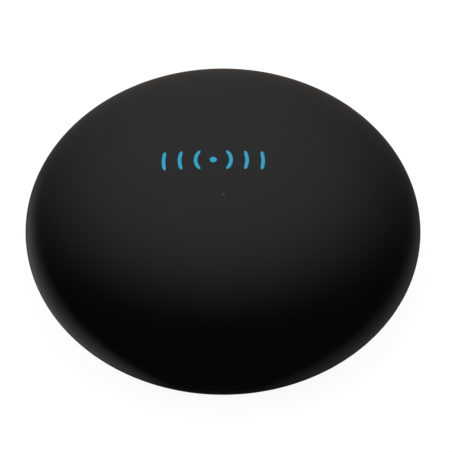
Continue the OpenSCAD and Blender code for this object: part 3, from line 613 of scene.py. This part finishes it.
@dataclass(frozen=True)
class TopCover:
    """The glossy cover: one smooth turned shell with its bosses, collar, pocket and bores."""

    turn_steps: int = 288
    dome_steps: int = 72
    low_steps: int = 10
    edge_steps: int = 4
    inner_turn_steps: int = 144
    inner_dome_steps: int = 40
    edge_round: float = 0.15
    pocket: Triple = (12.0, 8.2, 2.4)
    pocket_mid_z: float = 9.6
    pocket_wall: float = 1.2
    pocket_floor_y: float = 30.2
    pocket_back_y: float = 29.0
    slot_half_w: float = 3.85
    slot_top_z: float = 11.4
    collar_angle: float = 63.0
    collar_from: float = 31.0
    collar_d: float = 7.1
    collar_bore_d: float = 4.7
    boss_ring_r: float = 18.5
    boss_angles: tuple[float, ...] = (90.0, 210.0, 330.0)
    boss_d: float = 5.0
    boss_low_z: float = 8.7
    boss_bore_d: float = 2.2
    boss_bore_top_z: float = 15.1
    rib: Pair = (9.2, 0.9)
    rib_low_z: float = 14.7
    guide_y: float = -2.94
    guide_wall_d: float = 4.2
    guide_bore_d: float = 2.2
    guide_low_z: float = 9.6
    guide_hold_z: float = 16.45
    guide_top_z: float = 22.046
    over: float = 1.0

    def outside(self) -> Piece:
        """The cover as a full solid, with a small round on its lower edge."""
        e = self.edge_round
        start = -math.degrees(math.asin((BODY.wide_z - BODY.seam_z - e) / BODY.belly))
        low = BODY.rows(BODY.half, BODY.belly, start, 0.0, self.low_steps)
        dome = BODY.rows(BODY.half, BODY.dome, 0.0, 90.0, self.dome_steps)
        edge = arc((low[0, 0] - e, low[0, 1]), e, -90.0, 0.0, self.edge_steps)[:-1]
        rows = np.concatenate([[[0.0, edge[0, 1]]], edge, low, dome[1:]])
        rows[-1, 0] = 0.0
        rows[:, 1] += BODY.wide_z
        return lathe("cover_solid", rows, self.turn_steps)

    def inside(self) -> Piece:
        """The space inside the cover, straight below the widest line."""
        r = BODY.half - BODY.wall
        dome = BODY.rows(r, BODY.dome - BODY.wall, 0.0, 90.0, self.inner_dome_steps)
        dome[-1, 0] = 0.0
        low = BODY.seam_z - BODY.wide_z - self.over
        rows = np.concatenate([[[0.0, low], [r, low]], dome])
        rows[:, 1] += BODY.wide_z
        return lathe("cover_space", rows, self.inner_turn_steps)

    def guests(self) -> list[Piece]:
        """What stands in the space inside: bosses with ribs, pocket, collar and guide holder."""
        top = BODY.wide_z + BODY.dome
        width, height, corner = self.pocket
        wall = self.pocket_wall
        block = rounded_rectangle(height + 2 * wall, width + 2 * wall, corner + wall)
        made = [
            prism("pocket_block", block, (0, 0, self.pocket_mid_z), UP, EAST, self.pocket_back_y,
                  BODY.half),
            self.along_collar("collar_block", self.collar_d, self.collar_from, BODY.half),
            prism("guide_holder", circle(self.guide_wall_d), (0, self.guide_y, 0), EAST, NORTH,
                  self.guide_hold_z, top),
        ]
        for angle in self.boss_angles:
            out, side = heading(angle)
            centre = self.boss_ring_r * out
            made.append(prism("boss", circle(self.boss_d), centre, out, side, self.boss_low_z, top))
            for size in (self.rib, self.rib[::-1]):
                bar = np.array([[-1, -1], [1, -1], [1, 1], [-1, 1]]) * np.array(size) / 2
                made.append(prism("boss_rib", bar, centre, out, side, self.rib_low_z, top))
        return made

    def along_collar(self, name: str, diameter: float, low: float, high: float) -> Piece:
        """A round bar along the button's direction, from one radius to another."""
        side = heading(self.collar_angle)[1]
        return prism(name, circle(diameter), (0, 0, BODY.wide_z), side, UP, low, high)

    def cuts(self) -> list[Piece]:
        """What is cut out of the cover: pocket, socket slot, button bore, screw and guide bores."""
        width, height, corner = self.pocket
        low, high, half = BODY.seam_z - self.over, self.slot_top_z, self.slot_half_w
        slot = np.array([[low, -half], [low, half], [high, half], [high, -half]])
        made = [
            prism("pocket_cut", rounded_rectangle(height, width, corner), (0, 0, self.pocket_mid_z),
                  UP, EAST, self.pocket_floor_y, BODY.half + self.over),
            prism("socket_slot", slot, (0, 0, 0), UP, EAST, self.pocket_back_y - self.over,
                  self.pocket_floor_y + self.over),
            self.along_collar("button_bore", self.collar_bore_d, self.collar_from - self.over,
                              BODY.half + self.over),
            prism("guide_bore", circle(self.guide_bore_d), (0, self.guide_y, 0), EAST, NORTH,
                  self.guide_low_z, self.guide_top_z),
        ]
        for angle in self.boss_angles:
            centre = self.boss_ring_r * heading(angle)[0]
            made.append(prism("screw_bore", circle(self.boss_bore_d), centre, EAST, NORTH,
                              self.boss_low_z - self.over, self.boss_bore_top_z))
        return made

    def build(self) -> None:
        """Builds, shades and dresses the cover."""
        space = self.inside()
        for guest in self.guests():
            take_away(space, guest)
        cover = self.outside()
        take_away(cover, space)
        for cut in self.cuts():
            take_away(cover, cut)
        cover.name = "glossy_cover"
        smooth(cover)
        BODY.true_normals(cover)
        settle(cover, CASE, "cover_plastic", ["top_cover"])


@dataclass(frozen=True)
class DomeMark:
    """The mark on the dome, a dot between three waves on each side, and a painted red glow spot."""

    centre: Pair = (-1.7, 4.8)
    dot_r: float = 0.62
    wave_radii: tuple[float, ...] = (3.1, 5.9, 8.7)
    half_height: float = 2.1
    stroke: float = 0.62
    film: float = 0.012
    sunk: float = 0.08
    # spot and spot_r place and size the disc of painted red glow.
    spot: Pair = (0.12, -2.94)
    spot_r: float = 0.16
    disc_points: int = 17
    wave_points: tuple[int, int] = (41, 5)
    sharp: float = 40.0

    def patch(self, name: str, x: Array, y: Array) -> Piece:
        """A closed, smooth film that follows the dome over grids of X and Y places.

        The formula in words: the top is the dome's height plus the film's thickness, the bottom is
        the dome's height less the sunk depth, and a rim joins them.
        """
        z = BODY.height(x, y)
        points = np.concatenate([np.stack([x, y, level], axis=-1).reshape(-1, 3)
                                 for level in (z + self.film, z - self.sunk)])
        n = np.arange(x.size).reshape(x.shape)
        border = np.concatenate([n[0, :-1], n[:-1, -1], n[-1, :0:-1], n[:0:-1, 0]])
        following = np.roll(border, -1)
        faces = grid_faces(*x.shape, False, False)
        rim = np.stack([border, following, following + n.size, border + n.size], axis=-1)
        film = new_piece(name, points, np.concatenate([faces, faces[:, ::-1] + n.size, rim]))
        smooth(film, self.sharp)
        return film

    def disc(self, name: str, centre: Pair, radius: float) -> Piece:
        """A round film, on a square grid that is bent to a circle.

        The formula in words: the square's point (u, v) goes to the radius times
        (u * sqrt(1 - v^2 / 2), v * sqrt(1 - u^2 / 2)).
        """
        line = np.linspace(-1, 1, self.disc_points)
        u, v = np.meshgrid(line, line, indexing="ij")
        return self.patch(name, centre[0] + radius * u * np.sqrt(1 - v ** 2 / 2),
                          centre[1] + radius * v * np.sqrt(1 - u ** 2 / 2))

    def wave(self, number: int, radius: float, side: int) -> Piece:
        """One wave: a part of a ring round the dot, with its stroke thinner towards both ends.

        The formula in words: the stroke times sqrt(1.0005 - a^6), where a goes from -1 to 1 along
        the wave, so that its ends stay just open.
        """
        reach = math.asin(self.half_height / radius)
        along, over = self.wave_points
        angle, across = np.meshgrid(np.linspace(-1, 1, along), np.linspace(-0.5, 0.5, over),
                                    indexing="ij")
        width = self.stroke * np.sqrt(1.0005 - np.abs(angle) ** 6)
        r = radius + across * width
        name = f"printed_wave_{'right' if side > 0 else 'left'}_{number}"
        return self.patch(name, self.centre[0] + side * r * np.cos(angle * reach),
                          self.centre[1] + r * np.sin(angle * reach))

    def build(self) -> None:
        """Builds the mark and the painted red glow spot, which gives out light of its own."""
        films = [self.disc("printed_dot", self.centre, self.dot_r)]
        for number, radius in enumerate(self.wave_radii, 1):
            films += [self.wave(number, radius, side) for side in (-1, 1)]
        for film in films:
            settle(film, CASE, "cover_plastic", finish=PRINT_INK)
        # Painted red glow: a small disc on the dome that gives out red light of its own, with no
        # lamp behind it.
        spot = self.disc("painted_red_glow_spot", self.spot, self.spot_r)
        settle(spot, CASE, "cover_plastic", finish=PAINTED_RED_GLOW)


@dataclass(frozen=True)
class Underside:
    """The matt lower shell and its rubber foot ring."""

    ring_r: float = 18.5
    ring_w: float = 5.4
    ring_top_z: float = 1.4
    edge: float = 0.3
    groove_offsets: tuple[float, ...] = (-1.35, 0.0, 1.35)
    groove_half: float = 0.22
    groove_deep: float = 0.16
    foot_points: int = 121
    turn_steps: int = 192
    shell_sharp: float = 20.0
    ring_sharp: float = 40.0

    def ring_profile(self) -> Array:
        """Loop of radius and height of the ring: a flat foot, round edges and three round grooves.

        The formula in words: along the foot, the height is the groove's depth times a half cosine
        wave within each groove's width, and zero elsewhere.
        """
        half, e = self.ring_w / 2, self.edge
        x = np.linspace(-half + e, half - e, self.foot_points)
        z = np.zeros_like(x)
        for offset in self.groove_offsets:
            wave = self.groove_deep * np.cos((x - offset) / self.groove_half * math.pi / 2)
            z = np.where(np.abs(x - offset) < self.groove_half, wave, z)
        foot = np.stack([x, z], axis=-1)
        right = arc((half - e, e), e, -90, 0)[1:]
        left = arc((-half + e, e), e, 180, 270)[:-1]
        top = np.array([[half, self.ring_top_z], [-half, self.ring_top_z]])
        loop = np.concatenate([foot, right, top, left])
        loop[:, 0] += self.ring_r
        return loop

    def build(self) -> None:
        """Builds and dresses the lower shell and the foot ring."""
        shell = merged_copy("matt_lower_shell", "base_shell", self.shell_sharp)
        BODY.true_normals(shell)
        settle(shell, CASE, "shell_plastic", ["base_shell"])
        ring = lathe("rubber_foot_ring", self.ring_profile(), self.turn_steps, closed=True)
        smooth(ring, self.ring_sharp)
        settle(ring, CASE, "foot_rubber", ["foot_ring"])


@dataclass(frozen=True)
class ResetButton:
    """The reset button, turned about its own direction, with round edges and a dished face."""

    angle: float = 63.0
    mid_z: float = 10.0
    barrel_d: float = 4.4
    flange_d: float = 6.2
    flange_in: float = 30.1
    flange_out: float = 30.9
    stem_d: float = 2.4
    dish_d: float = 3.2
    dish_deep: float = 0.2
    dish_points: int = 14
    edge: float = 0.22
    turn_steps: int = 96
    sharp: float = 35.0

    def axis_span(self) -> Pair:
        """Where the button starts and ends along its direction, as the CAD node does at rest."""
        out = heading(self.angle)[0]
        along = vectors(frame["nodes"]["reset_button"].data.vertices, "co") @ out / MM
        return float(along.min()), float(along.max())

    def profile(self) -> Array:
        """Rows of radius and place along the axis: stem, flange, barrel and dished face.

        The formula in words: the dish is a cap of a sphere whose radius is (a^2 + d^2) / 2d, for a
        dish d deep and a wide from its middle.
        """
        low, high = self.axis_span()
        e, half = self.edge, self.edge / 2
        stem, flange, barrel = self.stem_d / 2, self.flange_d / 2, self.barrel_d / 2
        dish = np.linspace(self.dish_d / 2, 0.0, self.dish_points)
        sphere = ((self.dish_d / 2) ** 2 + self.dish_deep ** 2) / (2 * self.dish_deep)
        depth = np.sqrt(sphere ** 2 - dish ** 2) - (sphere - self.dish_deep)
        rows = np.concatenate([
            [[0.0, low]], arc((stem - half, low + half), half, -90, 0, 4),
            [[stem, self.flange_in], [flange - half, self.flange_in],
             [flange, self.flange_in + half], [flange, self.flange_out - half],
             [flange - half, self.flange_out], [barrel, self.flange_out]],
            arc((barrel - e, high - e), e, 0, 90),
            np.stack([dish, high - depth], axis=-1),
        ])
        rows[-1, 0] = 0.0
        return rows

    def build(self) -> None:
        """Builds the button: its profile is turned about +Z, and then laid over."""
        button = lathe("reset_button_cap", self.profile(), self.turn_steps)
        out, side = heading(self.angle)
        points = vectors(button.data.vertices, "co")
        placed = points[:, :1] * side + points[:, 1:2] * np.array(UP) + points[:, 2:] * out
        placed[:, 2] += self.mid_z * MM
        button.data.vertices.foreach_set("co", placed.ravel())
        button.data.update()
        smooth(button, self.sharp)
        settle(button, BUTTON, "button_plastic", ["reset_button"])


@dataclass(frozen=True)
class PowerSocket:
    """The power socket in its pocket: a shell of folded sheet with round corners."""

    width: float = 7.5
    height: float = 2.6
    sheet: float = 0.3
    slope_h: float = 0.9
    slope_w: float = 0.8
    corner: float = 0.35
    corner_points: int = 6
    lip: float = 0.12
    lip_share: float = 0.3
    sharp: float = 40.0

    def outline(self, shrink: float, corner: float) -> Array:
        """The socket's outline with each of its six corners rounded.

        The formula in words: at each corner, a quadratic curve runs from the corner radius before
        it to the corner radius behind it, with the corner itself as its middle control point.
        """
        w, h = self.width / 2 - shrink, self.height / 2 - shrink
        path = np.array([[-w, h], [-w, -h + self.slope_h], [-w + self.slope_w, -h],
                         [w - self.slope_w, -h], [w, -h + self.slope_h], [w, h]])
        before, after = np.roll(path, 1, axis=0) - path, np.roll(path, -1, axis=0) - path
        start = (path + before / np.linalg.norm(before, axis=1, keepdims=True) * corner)[:, None]
        end = (path + after / np.linalg.norm(after, axis=1, keepdims=True) * corner)[:, None]
        t = np.linspace(0, 1, self.corner_points)[None, :, None]
        curve = (1 - t) ** 2 * start + 2 * t * (1 - t) * path[:, None] + t ** 2 * end
        return curve.reshape(-1, 2)

    def build(self) -> None:
        """Builds the shell as a closed tube with a slightly rounded mouth."""
        low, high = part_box("usb_shell")
        back, front = low[1] / MM, high[1] / MM
        out, inner = self.outline(0.0, self.corner), self.outline(self.sheet, self.corner * 0.5)
        middle, lip, share = (out + inner) / 2, self.lip, self.lip_share
        near = front - lip * share
        loops = [(out, back), (out, front - lip), (out * (1 - share) + middle * share, near),
                 (middle, front), (inner * (1 - share) + middle * share, near),
                 (inner, front - lip), (inner, back)]
        points = np.concatenate([
            np.stack([loop[:, 0], np.full(len(loop), y), loop[:, 1] + BODY.wide_z], axis=-1)
            for loop, y in loops])
        shell = new_piece("socket_shell", points, grid_faces(len(loops), len(out), True, True))
        smooth(shell, self.sharp)
        settle(shell, CASE, "socket_metal", ["usb_shell"])


@dataclass(frozen=True)
class Inside:
    """The board with everything on it, the screws and the switch: smooth copies of the CAD."""

    round_nodes: tuple[str, ...] = (
        "case_screws", "board_screws", "main_board", *(f"side_emitter_{n}" for n in range(1, 7)),
        *(f"upright_emitter_{n}" for n in range(1, 4)), "ir_receiver", "radio_board", "light_guide",
        "bulk_capacitor", "switch_cover", "switch_body")

    def build(self) -> None:
        """Copies the round nodes, and gives every other node its finish."""
        for node in self.round_nodes:
            settle(merged_copy(f"smooth_{node}", node), CASE, slot_of(node), [node])
        plunger = merged_copy("smooth_switch_plunger", "switch_plunger")
        settle(plunger, PLUNGER, "plunger_plastic", ["switch_plunger"])
        for node, thing in frame["nodes"].items():
            finish = SLOT_FINISHES[slot_of(node)].build()
            for material_slot in thing.material_slots:
                material_slot.material = finish
            LOG.info("CAD node %s: %s", node, finish.name)


# ---- Camera, floor and light ----


@dataclass(frozen=True)
class Camera:
    """The photograph's view: from in front and well above, with a long lens."""

    centre: Triple = (0.0, 0.0, 10.0)
    distance: float = 490.0
    elevation: float = 52.55
    aim: Pair = (0.53, 0.06)
    lens: float = 220.0
    sensor: float = 36.0
    clip_start_m: float = 0.01

    def build(self) -> None:
        """Places the camera and makes it the scene's own."""
        e = math.radians(self.elevation)
        back = Vector((0.0, -math.cos(e), math.sin(e)))
        right, up = Vector(EAST), Vector((0.0, math.sin(e), math.cos(e)))
        centre = Vector(self.centre) * MM
        place = centre + back * self.distance * MM
        aim = centre + right * self.aim[0] * MM + up * self.aim[1] * MM
        behind = (place - aim).normalized()
        across = up.cross(behind).normalized()
        data = bpy.data.cameras.new("photo_camera")
        data.lens = self.lens
        data.sensor_width = self.sensor
        data.clip_start = self.clip_start_m
        camera = add_object("photo_camera", data)
        turn = Matrix((across, behind.cross(across), behind)).transposed().to_4x4()
        camera.matrix_world = Matrix.Translation(place) @ turn
        bpy.context.scene.camera = camera


@dataclass(frozen=True)
class LowCard:
    """A pale card, low to one side, as the gloss sees it.

    Its edge starts and ends at two cosines of the angle between a direction and the card's own.
    """

    direction: Triple
    level: float
    edge: Pair


@dataclass(frozen=True)
class Lamp:
    """A round soft lamp that shines at the object: place and width in metres, power in watts."""

    name: str
    place: Triple
    width: float
    power: float

    def build(self) -> None:
        """Adds the lamp, out of sight of the camera and of the gloss."""
        data = bpy.data.lights.new(self.name, "AREA")
        data.shape = "DISK"
        data.size = self.width
        data.energy = self.power
        lamp = add_object(self.name, data)
        lamp.location = self.place
        lamp.rotation_euler = Vector(self.place).to_track_quat("Z", "Y").to_euler()
        lamp.visible_glossy = False
        lamp.visible_camera = False


@dataclass(frozen=True)
class Studio:
    """A white floor and surrounding, and one wide soft light with low side cards in the gloss."""

    floor_r: float = 3.0
    floor_steps: int = 96
    floor_glow: float = 0.9
    floor_colour: str = "#6A6A6A"
    table_colour: str = "#E6E6E6"
    table_glow: float = 0.3
    diffuse_level: float = 0.8
    panel_centre: Triple = (-0.043, 0.627, 0.766)
    panel_size: Triple = (0.689, 0.554, 1.164)
    panel_level: float = 0.545
    panel_power: float = 1.25
    panel_foot: Pair = (-0.88, -0.6)
    dark_level: float = 0.026
    cards: tuple[LowCard, ...] = (LowCard((-0.850, 0.035, -0.501), 0.318, (0.623, 0.930)),
                                  LowCard((0.737, -0.050, -0.459), 0.144, (0.530, 0.847)))
    card_height: Pair = (0.318, -0.518)
    far_floor: Triple = (0.0, 0.608, -0.794)
    far_floor_edge: Pair = (0.863, 1.037)
    far_floor_shade: float = 0.796
    tint_edge: Pair = (0.55, 1.0)
    tint: str = "#FFE8D8"
    lamps: tuple[Lamp, ...] = (Lamp("soft_key", (-0.7, -0.5, 1.1), 0.9, 4.2),
                               Lamp("soft_fill", (0.9, -0.3, 0.8), 0.9, 2.0),
                               Lamp("soft_back", (0.1, 0.9, 0.7), 0.9, 2.0))

    def glowing(self, tree: Tree, colour: str, glow: float) -> Socket:
        """A matt surface of a colour that glows white as well."""
        matt = add_node(tree, "BsdfDiffuse", {"Color": linear(colour)}).outputs[0]
        light = add_node(tree, "Emission", {"Color": WHITE, "Strength": glow}).outputs[0]
        return add_node(tree, "AddShader", {0: matt, 1: light}).outputs[0]

    def floor(self) -> None:
        """A plain floor that takes the object's shadow, white to the camera and clear from below.

        To all other light it is a pale table that glows a little, which lights the underside.
        """
        edge = (self.floor_r / MM, 0.0)
        disc = lathe("studio_floor", np.array([(0.0, 0.0), edge]), self.floor_steps)
        if disc.data.polygons[0].normal.z < 0:
            disc.data.flip_normals()
        material = bpy.data.materials.new("matt white paper")
        tree = empty_tree(material)
        seen = seen_straight(tree, add_node(tree, "LightPath"))
        paper = mix_shaders(tree, seen, self.glowing(tree, self.table_colour, self.table_glow),
                            self.glowing(tree, self.floor_colour, self.floor_glow))
        side = add_node(tree, "NewGeometry").outputs["Backfacing"]
        clear = add_node(tree, "BsdfTransparent").outputs[0]
        add_node(tree, "OutputMaterial", {"Surface": mix_shaders(tree, side, paper, clear)})
        disc.data.materials.append(material)
        disc.visible_glossy = False

    def panel_light(self, tree: Tree, place: Socket, height: Socket) -> Socket:
        """The soft panel behind the object, over the dark of the room.

        The formula in words: its level times e to the power of minus d, where d is the squared
        distance of the direction from its centre, measured by its size along each axis, to its
        power. It ends at its foot, near the object's own shadow.

        Args:
            tree: The world's tree.
            place: The direction that is looked in.
            height: Its height.
        """
        away = vector(tree, "SUBTRACT", place, self.panel_centre)
        sized = vector(tree, "DIVIDE", away, self.panel_size)
        power = number(tree, "POWER", vector(tree, "DOT_PRODUCT", sized, sized), self.panel_power)
        fade = number(tree, "EXPONENT", number(tree, "MULTIPLY", power, -1.0))
        foot = ramp(tree, height, self.panel_foot, (0.0, self.panel_level))
        return number(tree, "MULTIPLY_ADD", fade, foot, self.dark_level)

    def card_light(self, tree: Tree, place: Socket, height: Socket, far: Socket) -> Socket:
        """The low cards, which come in below the horizon, in the shade of the far floor.

        The arguments are those of panel_light, and how nearly the direction points at that floor.
        """
        light: Any = 0.0
        for card in self.cards:
            facing = vector(tree, "DOT_PRODUCT", place, card.direction)
            light = number(tree, "ADD", ramp(tree, facing, card.edge, (0.0, card.level)), light)
        shade = ramp(tree, far, self.far_floor_edge, (1.0, 1.0 - self.far_floor_shade))
        shown = number(tree, "MULTIPLY", ramp(tree, height, self.card_height), shade)
        return number(tree, "MULTIPLY", shown, light)

    def surroundings(self) -> None:
        """The world: white to the camera, plain to matt surfaces, and a panel and cards to gloss.

        The gloss is tinted a little where it looks along the floor far behind the object.
        """
        world = bpy.data.worlds.new("white_studio")
        bpy.context.scene.world = world
        tree = empty_tree(world)
        path = add_node(tree, "LightPath")
        glossy = path.outputs["Is Glossy Ray"]
        place = add_node(tree, "TexCoord").outputs["Generated"]
        height = add_node(tree, "SeparateXYZ", {0: place}).outputs["Z"]
        far = vector(tree, "DOT_PRODUCT", place, self.far_floor)
        gloss = number(tree, "ADD", self.card_light(tree, place, height, far),
                       self.panel_light(tree, place, height))
        matt = mix_numbers(tree, glossy, self.diffuse_level, gloss)
        level = mix_numbers(tree, seen_straight(tree, path), matt, 1.0)
        warm = number(tree, "MULTIPLY", ramp(tree, far, self.tint_edge), glossy)
        tint = mix_colours(tree, warm, WHITE, linear(self.tint))
        light = add_node(tree, "Background", {"Color": tint, "Strength": level})
        add_node(tree, "OutputWorld", {"Surface": light.outputs[0]})

    def build(self) -> None:
        """Builds the floor, the surroundings and the lamps."""
        self.floor()
        self.surroundings()
        for lamp in self.lamps:
            lamp.build()
        bpy.context.scene.view_settings.view_transform = "Standard"


def main() -> None:
    """Builds everything in order."""
    logging.basicConfig(level=logging.INFO, format="%(name)s: %(message)s")
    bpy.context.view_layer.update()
    Camera().build()
    for part in (TopCover(), DomeMark(), Underside(), ResetButton(), PowerSocket(), Inside()):
        LOG.info("building %s", type(part).__name__)
        part.build()
    Studio().build()


if __name__ == "__main__":
    main()
